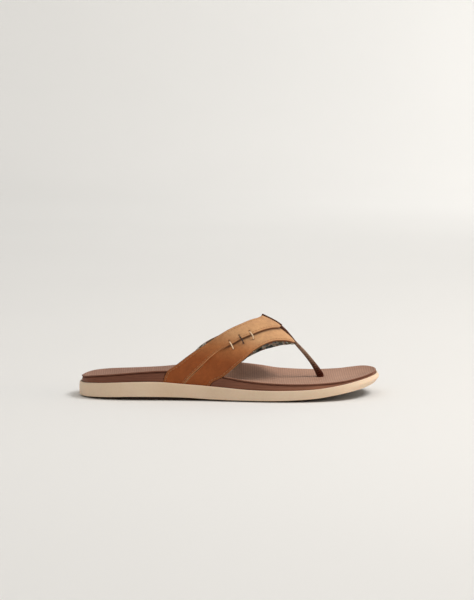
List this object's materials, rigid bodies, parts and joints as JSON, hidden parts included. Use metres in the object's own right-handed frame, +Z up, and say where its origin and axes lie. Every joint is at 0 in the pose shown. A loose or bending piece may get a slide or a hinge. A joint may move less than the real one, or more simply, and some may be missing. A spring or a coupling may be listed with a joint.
{
  "type": "flip flop sandal",
  "caption": "Thong sandal for the right foot: contoured footbed in a foam cupsole with a rubber outsole, padded leather straps meeting at a ridge, and a woven toe post.",
  "frame": {"origin": "centre of the sole's plan at ground level", "axes": "+X towards the toe, +Y towards the inner (medial) side, +Z up from the ground"},
  "size_m": [0.285, 0.1004, 0.077],
  "materials": {
    "outsole_rubber": "matte",
    "cream_foam": "matte",
    "brown_foam": "matte",
    "cover_sheet": "fine embossed texture",
    "nubuck": "nubuck",
    "padding_foam": "matte",
    "lining_textile": "printed weave",
    "webbing": "woven",
    "nylon": "satin",
    "cream_thread": "twisted thread",
    "brown_thread": "twisted thread",
    "tan_thread": "twisted thread"
  },
  "bodies": {
    "root": {"outsole": "outsole_rubber", "cupsole": "cream_foam", "footbed": "brown_foam", "footbed_cover": "cover_sheet", "toe_post": "webbing", "toe_post_anchor": "nylon", "centre_piping": "webbing", "lateral_rear_band": "nubuck", "lateral_front_band": "nubuck", "lateral_padding": "padding_foam", "lateral_lining": "lining_textile", "lateral_hand_stitch_1": "cream_thread", "lateral_hand_stitch_2": "brown_thread", "lateral_hand_stitch_3": "cream_thread", "medial_rear_band": "nubuck", "medial_front_band": "nubuck", "medial_padding": "padding_foam", "medial_lining": "lining_textile", "medial_hand_stitch_1": "cream_thread", "medial_hand_stitch_2": "brown_thread", "medial_hand_stitch_3": "cream_thread"}
  },
  "joints": []
}
